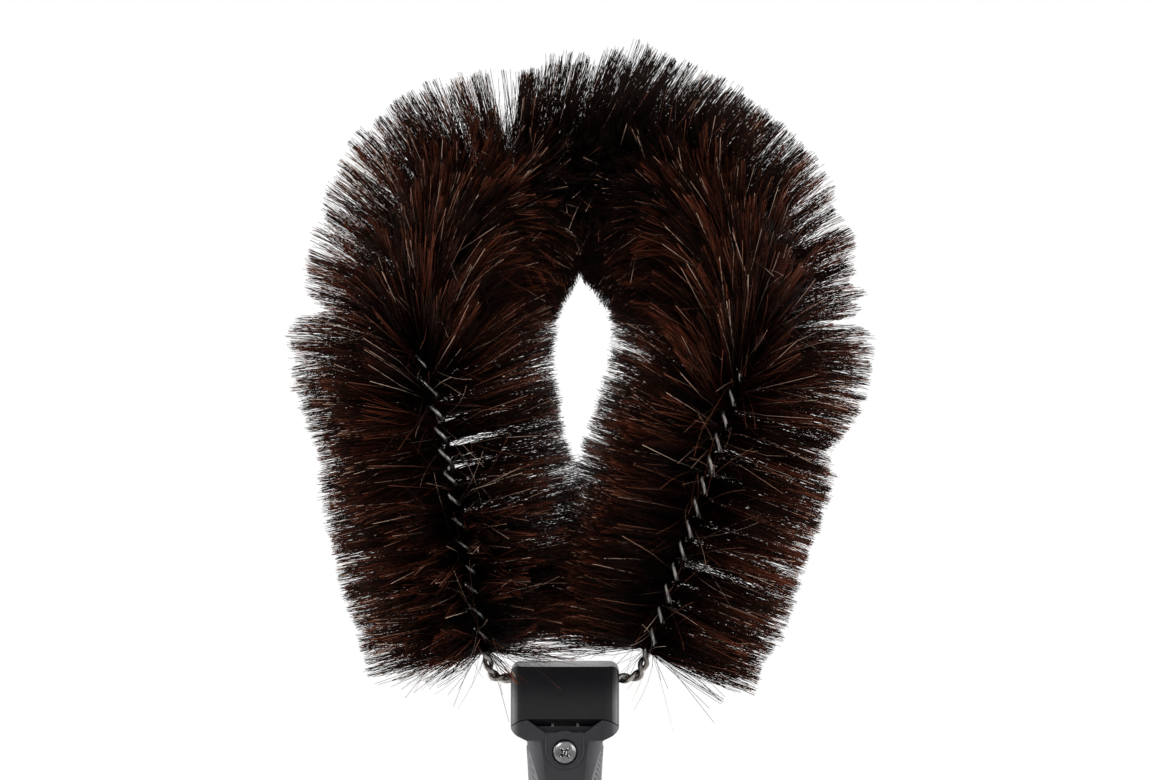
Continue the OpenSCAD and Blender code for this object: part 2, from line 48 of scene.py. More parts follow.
# Wire loop as in the part's source, but with the wires closer together at its feet
AXIS_Z = 172 * MM
ARCH_CENTRE = np.array([7.5, 308.0]) * MM
ARCH_A = 63 * MM
ARCH_B = 55 * MM
FOOT_X = 28 * MM
FOOT_R = 5 * MM
WIRE_R = 1.0 * MM
HELIX_FOOT_R = 1.04 * MM
HELIX_HAIR_R = 2.1 * MM
WIRE_END = 9.3 * MM
TURNS = 29
FOOT_TURNS = 1.0
FOOT_STRETCH = 26 * MM

# The hair opens the twist between these shares of the foot's stretch
TWIST_OPEN_FROM = 0.7
TWIST_OPEN_TO = 1.5
WIRE_STEPS_A_TURN = 22
WIRE_SIDES = 14

# Hair: length, count and thickness
HAIR_LEN = 49.6 * MM
HAIR_LOW_Z = AXIS_Z + 10 * MM
HAIR_GROUPS = 8
HAIRS_A_GROUP = 8400
HAIR_RADII = np.array([0.105, 0.105, 0.078]) * MM
HAIRS_A_LOCK = 9
STRAYS_A_GROUP = 100
SEED = 41

# Loose curved hairs over the front and back: share at the front, turn, lean, length and bend
STRAY_RADII = np.array([0.075, 0.075, 0.072, 0.066, 0.058, 0.045]) * MM
STRAY_FRONT = 0.7
STRAY_TURN = 0.75
STRAY_LEAN = 0.55
STRAY_LEN = (24, 49)
STRAY_BEND = (0.1, 0.75)
STRAY_CURVE = 0.6
STRAY_LIGHT = 0.55

# Hair: how far it turns out of the plane between the wires, more in the arch and its bends
FAN_SPREAD = math.radians(26)
FAN_ARCH = 0.35
FAN_BEND = 0.9
ARCH_FROM_Z = 0.258
ARCH_FULL_Z = 0.302
# Hair at the front of the legs is parted by this angle, and less low down on the left
PART_ANGLE = math.radians(34)
PART_WIDTH = math.radians(40)
LEFT_PART_LESS = 0.75
LEFT_PART_Z = (0.244, 0.232)
# Share of the hair that is moved off the right of the wire's strokes, left and right leg
THIN_LEFT = 0.94
THIN_RIGHT = 0.64
THIN_STEEP = 0.5
THIN_LEFT_Z = (238, 246, 274, 282)
THIN_RIGHT_Z = (188, 200, 272, 284)

# Hair: lean along the core, which rises towards the arch's top
RISE_RUN = 75 * MM
RISE_ALL = 0.10
RISE_FRONT = 1.1
LEAN_NOISE = 0.05
# Some of the lowest inner hair hangs in a fringe over the block, the rest lifts
FRINGE_Z = (0.206, 0.184)
FRINGE_SHARE = 0.42
FRINGE_DROP = 0.13
FRINGE_LIFT = -0.035
# Combing of the outer hair round the top: places in millimetres, and the slope there
COMB_X = [-50, -30, -25, -17, -8, 2, 12, 22, 32, 50, 66]
COMB_SLOPE = [0.0, -0.08, -0.06, 0.36, 0.50, 0.60, 0.58, 0.50, 0.40, 0.15, 0.0]

# Trimming of the outer hair round the top: places in millimetres, and the share left
TRIM_X = [-48, -40, -30, -26, -17, -10, 0, 8, 24, 40, 60]
TRIM_SHARE = [1.0, 1.05, 1.05, 1.0, 0.88, 0.95, 1.04, 1.10, 1.04, 0.96, 0.95]
RIGHT_LEG_LESS = 0.035
# Hair inside the arch in millimetres, by the core's distance from the top's middle
INNER_X = [0, 9, 16, 31, 45, 63]
INNER_LEN = [36, 40, 43.5, 48, 50.5, 54]
INWARD_LEAST = 0.05
STEEP_LEAST = 0.05
# The hair of both legs reaches past the middle between them
MIDDLE_OVERLAP = 9 * MM
# Hair beside the opening is longer by this share
FRAME_MORE = 0.09
FRAME_Z = (0.276, 0.296, 0.318, 0.335)
# See-through opening in millimetres: heights, middles and half widths
OPEN_Z = [252, 256, 265, 271, 277, 286, 296, 307, 311, 315, 318.7, 322.5, 326.3, 328]
OPEN_X = [4.5, 4.2, 3.6, 4.2, 5.3, 5.2, 6.6, 7.2, 6.5, 6.5, 6.7, 5.7, 5.3, 5.3]
OPEN_HALF = [0, 1.9, 4.2, 6.0, 7.2, 9.4, 10.9, 10.3, 8.4, 7.2, 5.1, 2.7, 0.8, 0]
OPEN_ROUNDS = 12
OPEN_STEP = 0.035
# Ragged outline of both sides: heights in millimetres and the share of the length left
SIDE_Z = [176, 185, 194, 205, 226, 240, 250, 256, 264, 272, 282, 300, 304, 308, 313, 318, 324,
          332, 340, 350, 362]
LEFT_SHARE = [0.94, 0.94, 0.955, 0.98, 1, 1, 0.955, 0.95, 0.97, 1, 1.02, 1.02, 1.01, 0.97, 0.72,
              0.88, 0.90, 0.92, 0.97, 0.94, 1]
RIGHT_SHARE = [0.91, 0.96, 0.98, 0.98, 0.98, 1, 0.95, 0.89, 0.95, 1.02, 1.02, 1.01, 0.96, 0.83,
               0.90, 0.92, 0.84, 0.91, 0.97, 0.93, 1]

# Hairs of a lock: how far they part from it and how they gather at its tip
ROOT_NOISE = 0.5 * MM
AIM_NOISE = 0.055
LOOSE_SHARE = 0.035
SHORT_SHARE = 0.08
TIP_GATHER = 0.42
CURL = 0.026
# Tone from 0, black, to 1, white; single light hairs are drawn apart from their lock
DARK_LIMIT = 0.87
LIGHT_SHARE = 0.05
LIGHT_FROM = 0.90
# Painted shade: share by which hair near the top's middle is given a darker tone
TOP_PAINTED_SHADE = 0.85

# Handle and clamp screw, the same values as in the part's source
HANDLE_LEN = 150 * MM
GRIP_R = 15 * MM
WAIST_R = 12.9 * MM
NECK_FLARE = 1.7 * MM
BELLY_Z = 45 * MM
WAIST_Z = 93 * MM
PANEL_LOW = 13 * MM
PANEL_HIGH = 147.5 * MM
PANEL_HALF_D = 10.6 * MM
PANEL_T = 1.4 * MM
PANEL_TOP_RUN = 26 * MM
PANEL_LOW_RUN = 14 * MM
SCREW_Z = 145.4 * MM
SCREW_SEAT_Y = -10.8 * MM
SCREW_HEAD_R = 4.5 * MM
SCREW_R = 2.0 * MM
SCREW_END_Y = 9.2 * MM

# Fine forms of the handle
RIB_PITCH = 2.3 * MM
RIB_HEIGHT = 0.42 * MM
RIB_SLANT = 0.9
RIB_ROWS = 620
RIB_COLUMNS = 35
PANEL_SUNK = 0.16 * MM
PAD_R = 6.9 * MM
PAD_Y = -11.98 * MM
PAD_MIDDLE_Z = 146.4 * MM
PAD_TOP_Z = 152.4 * MM
LIP_R = 0.44 * MM
EDGE_ROUND = 0.28 * MM
EDGE_ANGLE = math.radians(38)

# Screw head: its crown over a low edge, and the cross recess
HEAD_EDGE_H = 0.9 * MM
HEAD_UNDER_H = 0.6 * MM
CROWN_H = 1.5 * MM
RECESS_DEPTH = 1.9 * MM
RECESS_REACH = 2.6 * MM
RECESS_ARM = 0.62 * MM
# Depth at which the painted shade in the recess is full
RECESS_SHADE_DEPTH = 0.9 * MM

# Block: painted shade up at the hair, where the gloss falls off between these heights
BLOCK_SHADE_FROM_Z = 161 * MM
BLOCK_SHADE_FULL_Z = 174 * MM
BLOCK_SPECULAR = 0.22
BLOCK_SHADED_SPECULAR = 0.04

# Stage, light and camera
FLOOR_HALF = 4.0
FLOOR_Z = -0.0005
FADE_FROM = 0.16
FADE_TO = 0.62
WORLD_LIGHT = 0.55
LAMPS = [
    ("key", (-0.9, -1.0, 1.1), (0, 0, 0.27), 0.7, 14),
    ("fill", (1.1, -0.8, 0.6), (0, 0, 0.27), 0.8, 7),
    ("rim", (0.2, 1.1, 0.9), (0, 0, 0.27), 0.8, 9),
    ("left_strip", (-0.95, 0.22, 0.24), (0, 0, 0.18), 0.9, 13),
    ("right_strip", (0.95, 0.22, 0.24), (0, 0, 0.18), 0.9, 13),
]
SENSOR = 36
PHOTO_WIDTH = 1170 * 0.38 * MM
CAMERA_DISTANCE = 1.1
CAMERA_X = 7.6 * MM
CAMERA_Z = 281.5 * MM

COLLECTION = bpy.context.scene.collection
Y_AXIS = np.array([0.0, 1.0, 0.0])


def unit(v):
    return v / np.linalg.norm(v, axis=-1, keepdims=True)


def smooth(low, high, x):
    t = np.clip((x - low) / (high - low), 0, 1)
    return t * t * (3 - 2 * t)


def band(x, low, full_low, full_high, high):
    """Rises from low to full_low, is one, and falls from full_high to high."""
    return smooth(low, full_low, x) * smooth(high, full_high, x)


# Course of the twisted core

def arch_point(angle):
    return ARCH_CENTRE + np.array([ARCH_A * math.cos(angle), ARCH_B * math.sin(angle)])


def touch_angle(p, side):
    """Where a line from p touches the arch, on the side given by its sign."""
    q = (p - ARCH_CENTRE) / np.array([ARCH_A, ARCH_B])
    return math.atan2(q[1], q[0]) + side * math.acos(1 / np.linalg.norm(q))


def round_bend(p, corner, q, radius, steps=10):
    a, b = unit(p - corner), unit(q - corner)
    half = math.acos(a @ b) / 2
    centre = corner + unit(a + b) * radius / math.sin(half)
    start = corner + a * radius / math.tan(half) - centre
    end = corner + b * radius / math.tan(half) - centre
    return [centre + radius * unit(start * (1 - t) + end * t)
            for t in np.linspace(0, 1, steps + 1)]


def loop_route():
    """Points of the loop's middle line, from the left foot over the top."""
    left, right = np.array([-FOOT_X, AXIS_Z]), np.array([FOOT_X, AXIS_Z])
    middle = np.array([0, AXIS_Z])
    start = touch_angle(left, -1) + 2 * math.pi
    stop = touch_angle(right, 1)
    points = [np.array([-WIRE_END, AXIS_Z])]
    points += round_bend(middle, left, arch_point(start), FOOT_R)
    points += [arch_point(a) for a in np.linspace(start, stop, 181)]
    points += round_bend(arch_point(stop), right, middle, FOOT_R)
    points.append(np.array([WIRE_END, AXIS_Z]))
    return np.array(points)


ROUTE = loop_route()
MILE = np.concatenate([[0], np.cumsum(np.linalg.norm(np.diff(ROUTE, axis=0), axis=1))])
ROUTE_LEN = MILE[-1]
PITCH = ROUTE_LEN / TURNS
TOP_DISTANCE = MILE[np.argmax(ROUTE[:, 1])]


def route_at(s):
    return np.stack([np.interp(s, MILE, ROUTE[:, 0]), np.interp(s, MILE, ROUTE[:, 1])], axis=-1)


def core_at(s):
    """Place, direction and outward normal of the core at distances s."""
    c = route_at(s)
    t = unit(route_at(s + 0.8 * MM) - route_at(s - 0.8 * MM))
    flat = np.zeros(len(s))
    place = np.stack([c[:, 0], flat, c[:, 1]], axis=-1)
    ahead = np.stack([t[:, 0], flat, t[:, 1]], axis=-1)
    outward = np.stack([-t[:, 1], flat, t[:, 0]], axis=-1)
    return place, ahead, outward


def twist_at(s):
    """Turn of the left-handed twist, tighter in the bare stretch at each foot."""
    even = s / PITCH
    feet = np.clip(s / FOOT_STRETCH, 0, 1) - np.clip((ROUTE_LEN - s) / FOOT_STRETCH, 0, 1)
    return math.pi / 2 + 2 * math.pi * (even + FOOT_TURNS * feet)


def helix_radius(s):
    """The hair between the wires holds them farther apart than at the feet."""
    from_end = np.minimum(s, ROUTE_LEN - s)
    low, high = TWIST_OPEN_FROM * FOOT_STRETCH, TWIST_OPEN_TO * FOOT_STRETCH
    opened = smooth(low, high, from_end)
    return HELIX_FOOT_R + (HELIX_HAIR_R - HELIX_FOOT_R) * opened


# Mesh helpers

def mesh_piece(name, verts, loops, totals, material, smooth_faces=True):
    """A mesh object from flat lists of corners and of corners per face."""
    mesh = bpy.data.meshes.new(name)
    mesh.vertices.add(len(verts))
    mesh.vertices.foreach_set("co", np.asarray(verts, dtype=np.float32).ravel())
    mesh.loops.add(len(loops))
    mesh.loops.foreach_set("vertex_index", np.asarray(loops, dtype=np.int32))
    mesh.polygons.add(len(totals))
    starts = np.concatenate([[0], np.cumsum(totals)[:-1]]).astype(np.int32)
    mesh.polygons.foreach_set("loop_start", starts)
    mesh.polygons.foreach_set("use_smooth", np.full(len(totals), smooth_faces))
    mesh.update(calc_edges=True)
    mesh.validate()
    piece = bpy.data.objects.new(name, mesh)
    piece.data.materials.append(material)
    COLLECTION.objects.link(piece)
    return piece


def closed_rings(name, verts, rings, sides, material, mirrored=False):
    """A closed mesh through rings of corners; mirrored turns its faces round."""
    i = np.arange(rings - 1)[:, None] * sides
    j = np.arange(sides)[None, :]
    k = (j + 1) % sides
    quads = np.stack([i + j, i + k, i + sides + k, i + sides + j], axis=-1).reshape(-1, 4)
    first = np.arange(sides)[::-1]
    last = (rings - 1) * sides + np.arange(sides)
    if mirrored:
        quads, first, last = quads[:, [0, 3, 2, 1]], first[::-1], last[::-1]
    loops = np.concatenate([quads.ravel(), first, last])
    totals = np.concatenate([np.full(len(quads), 4), [sides, sides]])
    return mesh_piece(name, verts, loops, totals, material)


def tube(name, centres, across, upward, sides, material):
    """A closed tube round the centres, with a ring in each pair of axes."""
    angle = np.linspace(0, 2 * math.pi, sides, endpoint=False)
    verts = (centres[:, None, :] + across[:, None, :] * np.cos(angle)[None, :, None]
             + upward[:, None, :] * np.sin(angle)[None, :, None]).reshape(-1, 3)
    return closed_rings(name, verts, len(centres), sides, material)


# Hair

def direction(ahead, outward, angle, lean):
    """Unit vectors at an angle round the core that lean along it."""
    return unit(outward * np.cos(angle)[:, None] + Y_AXIS * np.sin(angle)[:, None]
                + ahead * lean[:, None])


def room_inwards(place, ahead):
    """Free length from the core towards the middle of the loop."""
    z = place[:, 2]
    mid_x = ARCH_CENTRE[0] * (z - AXIS_Z) / (ARCH_CENTRE[1] - AXIS_Z)
    across = np.abs(mid_x - place[:, 0]) / np.maximum(STEEP_LEAST, np.abs(ahead[:, 2]))
    from_top = np.abs(place[:, 0] - ARCH_CENTRE[0])
    in_arch = np.interp(from_top / MM, INNER_X, INNER_LEN) * MM
    return np.where(z > ARCH_CENTRE[1], in_arch, across + MIDDLE_OVERLAP)


def inner_length(z):
    """Longest hair towards the middle; it is left long where it frames the opening."""
    return HAIR_LEN * (1 + FRAME_MORE * band(z, *FRAME_Z))


def part_from_front(angle, amount):
    """Turns hair that points at the front away to either side by up to amount."""
    off = np.mod(angle + math.pi / 2 + math.pi, 2 * math.pi) - math.pi
    push = amount * np.exp(-(off / PART_WIDTH) ** 2)
    return -math.pi / 2 + off + np.where(off >= 0, push, -push)


def thin_beside_strokes(rng, angle, place, outward):
    """Moves hair off the right of the wire's strokes, where light comes through."""
    x, z = place[:, 0] / MM, place[:, 2] / MM
    left = band(z, *THIN_LEFT_Z) * (x < 0)
    right = band(z, *THIN_RIGHT_Z) * (x > 0)
    chance = THIN_LEFT * left + THIN_RIGHT * right
    to_right = np.cos(angle) * outward[:, 0] > 0
    steep = np.abs(np.sin(angle)) > THIN_STEEP
    moved = to_right & steep & (rng.random(len(angle)) < chance)
    return np.where(moved, math.pi - angle, angle)


def comb_over_top(x):
    """Slope of the outer hair near the top: it divides at a notch and lies over to the right."""
    return np.interp(x / MM, COMB_X, COMB_SLOPE)


def trim_at_top(x):
    """Length of the outer hair near the top: short beside the notch, long where it lies over."""
    return np.interp(x / MM, TRIM_X, TRIM_SHARE)


def fan_angles(rng, s, place, outward, arch):
    """Direction of each lock round the core: between the wires, fanned out and parted."""
    side = rng.integers(0, 2, len(s)) * math.pi
    spread = FAN_SPREAD * (1 + FAN_ARCH * arch + FAN_BEND * arch * (1 - arch))
    angle = twist_at(s) + math.pi / 2 + side + rng.normal(0, 1, len(s)) * spread
    low_left = (place[:, 0] < 0) * smooth(*LEFT_PART_Z, place[:, 2])
    parted = (1 - arch) * (1 - LEFT_PART_LESS * low_left)
    angle = part_from_front(angle, PART_ANGLE * parted)
    return thin_beside_strokes(rng, angle, place, outward)


def lock_slopes(rng, s, place, angle, arch):
    """Lean of each lock along the core."""
    front = np.clip(-np.sin(angle), 0, 1)
    outer = np.clip(np.cos(angle), 0, 1)
    inner = np.clip(-np.cos(angle), 0, 1)
    rising = np.clip((TOP_DISTANCE - s) / RISE_RUN, -1, 1)
    slope = rising * arch * (RISE_ALL + RISE_FRONT * front ** 2)
    slope = slope + outer * arch * comb_over_top(place[:, 0])
    fringe = inner * smooth(*FRINGE_Z, place[:, 2])
    drop = np.where(rng.random(len(s)) < FRINGE_SHARE, FRINGE_DROP, FRINGE_LIFT)
    slope = slope - drop * np.sign(rising) * fringe
    return slope + rng.normal(0, 1, len(s)) * LEAN_NOISE * (1 + arch + front)


def lock_lengths(rng, place, ahead, inward, outer, arch):
    """Length of each lock, by its place and the room towards the loop's middle."""
    count = len(place)
    length = np.where(inward > INWARD_LEAST, inner_length(place[:, 2]), HAIR_LEN)
    length = length * rng.normal(0.990, 0.016, count)
    length = length * (1 + (trim_at_top(place[:, 0]) - 1) * outer * arch)
    length = length * (1 - RIGHT_LEG_LESS * outer * (1 - arch) * (place[:, 0] > 0))
    room = room_inwards(place, ahead) * rng.normal(1.03, 0.05, count)
    held = np.minimum(length, room / np.maximum(inward, INWARD_LEAST))
    return np.where(inward > INWARD_LEAST, held, length)


def lock_paths(rng, low, high, count):
    """Course of each lock of hairs: root distance, direction, length and tone."""
    s = rng.uniform(low, high, count)
    place, ahead, outward = core_at(s)
    arch = smooth(ARCH_FROM_Z, ARCH_FULL_Z, place[:, 2])
    angle = fan_angles(rng, s, place, outward, arch)
    front = np.clip(-np.sin(angle), 0, 1)
    outer = np.clip(np.cos(angle), 0, 1)
    aim = direction(ahead, outward, angle, lock_slopes(rng, s, place, angle, arch))
    inward = -np.sum(aim * outward, axis=1)
    length = lock_lengths(rng, place, ahead, inward, outer, arch)
    # Painted shade: hair near the top's middle gets a darker tone, most of all where it faces the
    # front
    painted_shade_near_top = smooth(46, 6, np.abs(place[:, 0] / MM - 12)) * arch
    tone = rng.random(count) * (1 - TOP_PAINTED_SHADE * painted_shade_near_top * smooth(-0.4, 0.5, front))
    return s, aim, length, tone


def trim_sides(place, tip, outward):
    """Shortens outer hair in places, so that its outline is as ragged as real hair."""
    z = tip[:, 2] / MM
    left = np.interp(z, SIDE_Z, LEFT_SHARE)
    right = np.interp(z, SIDE_Z, RIGHT_SHARE)
    share = np.where(place[:, 0] < ARCH_CENTRE[0], left, right)
    outer = smooth(0.15, 0.65, np.sum(unit(tip - place) * outward, axis=1))
    return place + (tip - place) * (1 + (share - 1) * outer)[:, None]


def trim_at_opening(rng, place, tip):
    """Shortens hair whose tip would stand in the see-through opening."""
    loose = rng.uniform(-0.6, 1.8, len(tip))
    share = np.ones(len(tip))
    for step in range(OPEN_ROUNDS):
        point = (place + (tip - place) * share[:, None]) / MM
        middle = np.interp(point[:, 2], OPEN_Z, OPEN_X)
        half = np.interp(point[:, 2], OPEN_Z, OPEN_HALF)
        inside = np.abs(point[:, 0] - middle) < half - loose
        share = np.where(inside, share - OPEN_STEP, share)
    return place + (tip - place) * share[:, None]


def hair_tones(rng, lock_tone):
    """Tone of each hair, near its lock's, with single light hairs among them."""
    count = len(lock_tone)
    tone = 0.70 * lock_tone + 0.24 * rng.random(count) + 0.05 * rng.normal(0, 1, count)
    tone = np.clip(tone, 0, DARK_LIMIT)
    is_light = rng.random(count) < LIGHT_SHARE * (0.25 + lock_tone)
    return np.where(is_light, rng.uniform(LIGHT_FROM, 1, count), tone)


def hair_paths(rng, low, high, count):
    """Three points on each hair between two distances of the core, and its tone."""
    locks = lock_paths(rng, low, high, count // HAIRS_A_LOCK)
    member = rng.integers(0, len(locks[0]), count)
    lock_s, lock_aim, lock_length, lock_tone = (part[member] for part in locks)
    s = np.clip(lock_s + rng.normal(0, ROOT_NOISE, count), low, high)
    place, ahead, outward = core_at(s)
    lock_tip = core_at(lock_s)[0] + lock_aim * lock_length[:, None]
    loose = rng.random(count) < LOOSE_SHARE
    noise = np.where(loose, rng.uniform(0.1, 0.5, count), rng.normal(0, AIM_NOISE, count))
    aim = unit(lock_aim + rng.normal(0, 1, (count, 3)) * noise[:, None])
    length = lock_length * rng.normal(1, 0.012, count)
    single = (rng.random(count) < SHORT_SHARE) | loose
    length = np.where(single, length * rng.uniform(0.55, 1, count), length)
    tip = place + aim * length[:, None]
    gather = np.where(single, 0, TIP_GATHER)[:, None]
    tip = tip * (1 - gather) + lock_tip * gather
    tip = trim_sides(place, tip, outward)
    tip = trim_at_opening(rng, place, tip)
    curl = rng.normal(0, 1, (count, 3)) * (length * CURL)[:, None]
    middle = place * 0.5 + tip * 0.5 + curl
    points = np.stack([place, middle, tip], axis=1)
    return points, ahead, hair_tones(rng, lock_tone)


def strands(name, points, radii, ahead, tone, material):
    """Three-sided strands through rows of points, as one mesh piece."""
    count, stops = points.shape[:2]
    aim = unit(points[:, -1] - points[:, 0])
    u = unit(np.cross(aim, ahead + 1e-4))
    v = np.cross(aim, u)
    angle = np.arange(3) * 2 * math.pi / 3
    ring = (u[:, None, :] * np.cos(angle)[None, :, None]
            + v[:, None, :] * np.sin(angle)[None, :, None])
    verts = points[:, :, None, :] + ring[:, None, :, :] * radii[None, :, None, None]
    faces = []
    for r in range(stops - 1):
        for j in range(3):
            a, b = 3 * r + j, 3 * r + (j + 1) % 3
            faces += [[a, b, b + 3], [a, b + 3, a + 3]]
    faces.append([3 * stops - 3, 3 * stops - 2, 3 * stops - 1])
    loops = (np.arange(count)[:, None, None] * 3 * stops + np.array(faces)[None]).reshape(-1)
    totals = np.full(count * len(faces), 3)
    piece = mesh_piece(name, verts.reshape(-1, 3), loops, totals, material)
    put_attribute(piece, "tone", np.repeat(tone, 3 * stops))
    put_attribute(piece, "reach", np.tile(np.repeat(np.linspace(0, 1, stops), 3), count))
    return piece


def stray_paths(rng, low, high, count):
    """Curved loose hairs that lie over the front and back of the brush."""
    s = rng.uniform(low, high, count)
    place, ahead, outward = core_at(s)
    face = np.where(rng.random(count) < STRAY_FRONT, -1.0, 1.0)
    angle = face * (math.pi / 2 + rng.normal(0, STRAY_TURN, count))
    lean = rng.normal(0, STRAY_LEAN, count)
    aim = direction(ahead, outward, angle, lean)
    length = rng.uniform(*STRAY_LEN, count) * MM
    sideways = unit(np.cross(aim, rng.normal(0, 1, (count, 3))))
    bend = sideways * rng.uniform(*STRAY_BEND, count)[:, None]
    t = np.linspace(0, 1, len(STRAY_RADII))[None, :, None]
    course = aim[:, None, :] * t + bend[:, None, :] * t ** 2 * STRAY_CURVE
    reach = length[:, None, None] * course
    points = place[:, None, :] + reach / np.sqrt(1 + (STRAY_CURVE * t) ** 2)
    is_light = rng.random(count) < STRAY_LIGHT
    tone = np.where(is_light, rng.uniform(LIGHT_FROM, 1, count), rng.random(count))
    return points, ahead, tone


def put_attribute(piece, name, values):
    layer = piece.data.attributes.new(name, "FLOAT", "POINT")
    layer.data.foreach_set("value", np.asarray(values, dtype=np.float32))


def hair_limits():
    """Distances along the core between which the hair stands."""
    s = np.linspace(0, ROUTE_LEN, 4000)
    high_enough = s[route_at(s)[:, 1] >= HAIR_LOW_Z]
    return high_enough[0], high_enough[-1]


def place_hair(piece, group):
    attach(piece, "head")
    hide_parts(f"bristles_{group}")


def make_hair(material):
    low, high = hair_limits()
    rng = np.random.default_rng(SEED)
    edges = np.linspace(low, high, HAIR_GROUPS + 1)
    for g in range(HAIR_GROUPS):
        points, ahead, tone = hair_paths(rng, edges[g], edges[g + 1], HAIRS_A_GROUP)
        place_hair(strands(f"hair_{g + 1}", points, HAIR_RADII, ahead, tone, material), g + 1)
        points, ahead, tone = stray_paths(rng, edges[g], edges[g + 1], STRAYS_A_GROUP)
        place_hair(strands(f"strays_{g + 1}", points, STRAY_RADII, ahead, tone, material), g + 1)


# Wires

def make_wire(name, phase, material):
    s = np.linspace(0, ROUTE_LEN, TURNS * WIRE_STEPS_A_TURN + 1)
    place, _, outward = core_at(s)
    angle = (twist_at(s) + phase)[:, None]
    out = outward * np.cos(angle) + Y_AXIS * np.sin(angle)
    centres = place + out * helix_radius(s)[:, None]
    run = unit(np.gradient(centres, axis=0))
    side = unit(np.cross(run, out))
    up = np.cross(side, run)
    round_name = name + "_round"
    piece = tube(round_name, centres, up * WIRE_R, side * WIRE_R, WIRE_SIDES, material)
    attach(piece, "head")
    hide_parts(name)


# Handle details

def handle_radius(z):
    """Grip, waist and flared neck of the handle."""
    t = np.clip((z - BELLY_Z) / (WAIST_Z - BELLY_Z), 0, 1)
    slim = GRIP_R + (WAIST_R - GRIP_R) * (1 - np.cos(math.pi * t)) / 2
    flare = NECK_FLARE * np.maximum(0, (z - WAIST_Z) / (HANDLE_LEN - WAIST_Z)) ** 3
    return slim + flare


def panel_half_depth(z):
    """Half depth of a soft panel seen from the side, an ellipse at each end."""
    up = np.clip((z - (PANEL_HIGH - PANEL_TOP_RUN)) / PANEL_TOP_RUN, 0, 1)
    down = np.clip((PANEL_LOW + PANEL_LOW_RUN - z) / PANEL_LOW_RUN, 0, 1)
    return PANEL_HALF_D * np.sqrt(1 - up ** 2) * np.sqrt(1 - down ** 2)


def sheet(name, outer, inner, material):
    """A closed sheet between two grids of the same shape."""
    rows, columns = outer.shape[:2]
    i, j = np.meshgrid(np.arange(rows - 1), np.arange(columns - 1), indexing="ij")
    a = (i * columns + j).ravel()
    top = np.stack([a, a + 1, a + columns + 1, a + columns], axis=-1)
    low = top[:, ::-1] + rows * columns
    edge = np.concatenate([np.arange(columns), np.arange(1, rows) * columns + columns - 1,
                           (rows - 1) * columns + np.arange(columns - 1)[::-1],
                           np.arange(rows - 2, 0, -1) * columns])
    after = np.roll(edge, -1)
    walls = np.stack([after, edge, edge + rows * columns, after + rows * columns], axis=-1)
    quads = np.concatenate([top, low, walls])
    verts = np.concatenate([outer.reshape(-1, 3), inner.reshape(-1, 3)])
    return mesh_piece(name, verts, quads.ravel(), np.full(len(quads), 4), material)


def grip_ribs(side, material):
    """Soft side panel with fine slanted ribs that fade out at its border."""
    z = np.linspace(PANEL_LOW + 0.05 * MM, PANEL_HIGH - 0.05 * MM, RIB_ROWS)[:, None]
    across = np.sin(np.linspace(-1, 1, RIB_COLUMNS) * math.pi / 2)[None, :]
    depth = panel_half_depth(z)
    y = depth * across
    border = np.minimum(depth * (1 - np.abs(across)), np.minimum(z - PANEL_LOW, PANEL_HIGH - z))
    wave = 0.5 + 0.5 * np.cos(2 * math.pi * (z + RIB_SLANT * side * y) / RIB_PITCH)
    shown = smooth(0.5 * MM, 1.5 * MM, border)
    rib = RIB_HEIGHT * smooth(0.1, 0.7, wave) * shown
    sunk = PANEL_SUNK * smooth(0.45 * MM, 0, border)
    radius = handle_radius(z) + rib - sunk + 0 * y

    def grid(r):
        x = side * np.sqrt(np.maximum(0, r ** 2 - y ** 2))
        return np.stack([x, y + 0 * x, z + 0 * x], axis=-1)

    outer, inner = grid(radius), grid(handle_radius(z) - PANEL_T + 0 * y)
    # Painted shade in the grooves between the ribs, carried to the material as an attribute
    groove_shade = smooth(0.45, 0.05, wave) * shown
    if side < 0:
        outer, inner, groove_shade = outer[:, ::-1], inner[:, ::-1], groove_shade[:, ::-1]
    word = "left" if side < 0 else "right"
    piece = sheet(word + "_grip_ribs", outer, inner, material)
    put_attribute(piece, "groove_shade", np.concatenate([groove_shade.ravel(), 0 * groove_shade.ravel()]))
    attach(piece, "handle")
    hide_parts(word + "_grip_panel")


def make_pad_lip(material):
    """Raised lip round the U-shaped pad under the clamp screw."""
    straight = np.linspace(PAD_TOP_Z, PAD_MIDDLE_Z, 8)[:-1]
    turn = np.linspace(math.pi, 2 * math.pi, 33)
    x = np.concatenate([np.full(7, -PAD_R), PAD_R * np.cos(turn), np.full(7, PAD_R)])
    z = np.concatenate([straight, PAD_MIDDLE_Z + PAD_R * np.sin(turn), straight[::-1]])
    centres = np.stack([x, np.full(len(x), PAD_Y), z], axis=-1)
    run = unit(np.gradient(centres, axis=0))
    upward = np.tile(-Y_AXIS, (len(x), 1))
    across = np.cross(run, upward)
    piece = tube("pad_lip", centres, across * LIP_R, upward * LIP_R, 12, material)
    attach(piece, "handle")


def cross_recess(x, y):
    """Depth of the cross-shaped drive recess at a place on the screw's head."""
    reach = np.hypot(x, y)
    share = np.clip(reach / RECESS_REACH, 0, 1)
    width = RECESS_ARM * (1 - 0.3 * share)
    arms = np.minimum(np.abs(x + y), np.abs(x - y)) / math.sqrt(2)
    inside = smooth(0.14 * MM, -0.02 * MM, arms - width) * smooth(2.75 * MM, 2.35 * MM, reach)
    middle = smooth(1.2 * MM, 0.85 * MM, reach)
    return RECESS_DEPTH * np.maximum(inside, middle) * (1 - 0.35 * share)


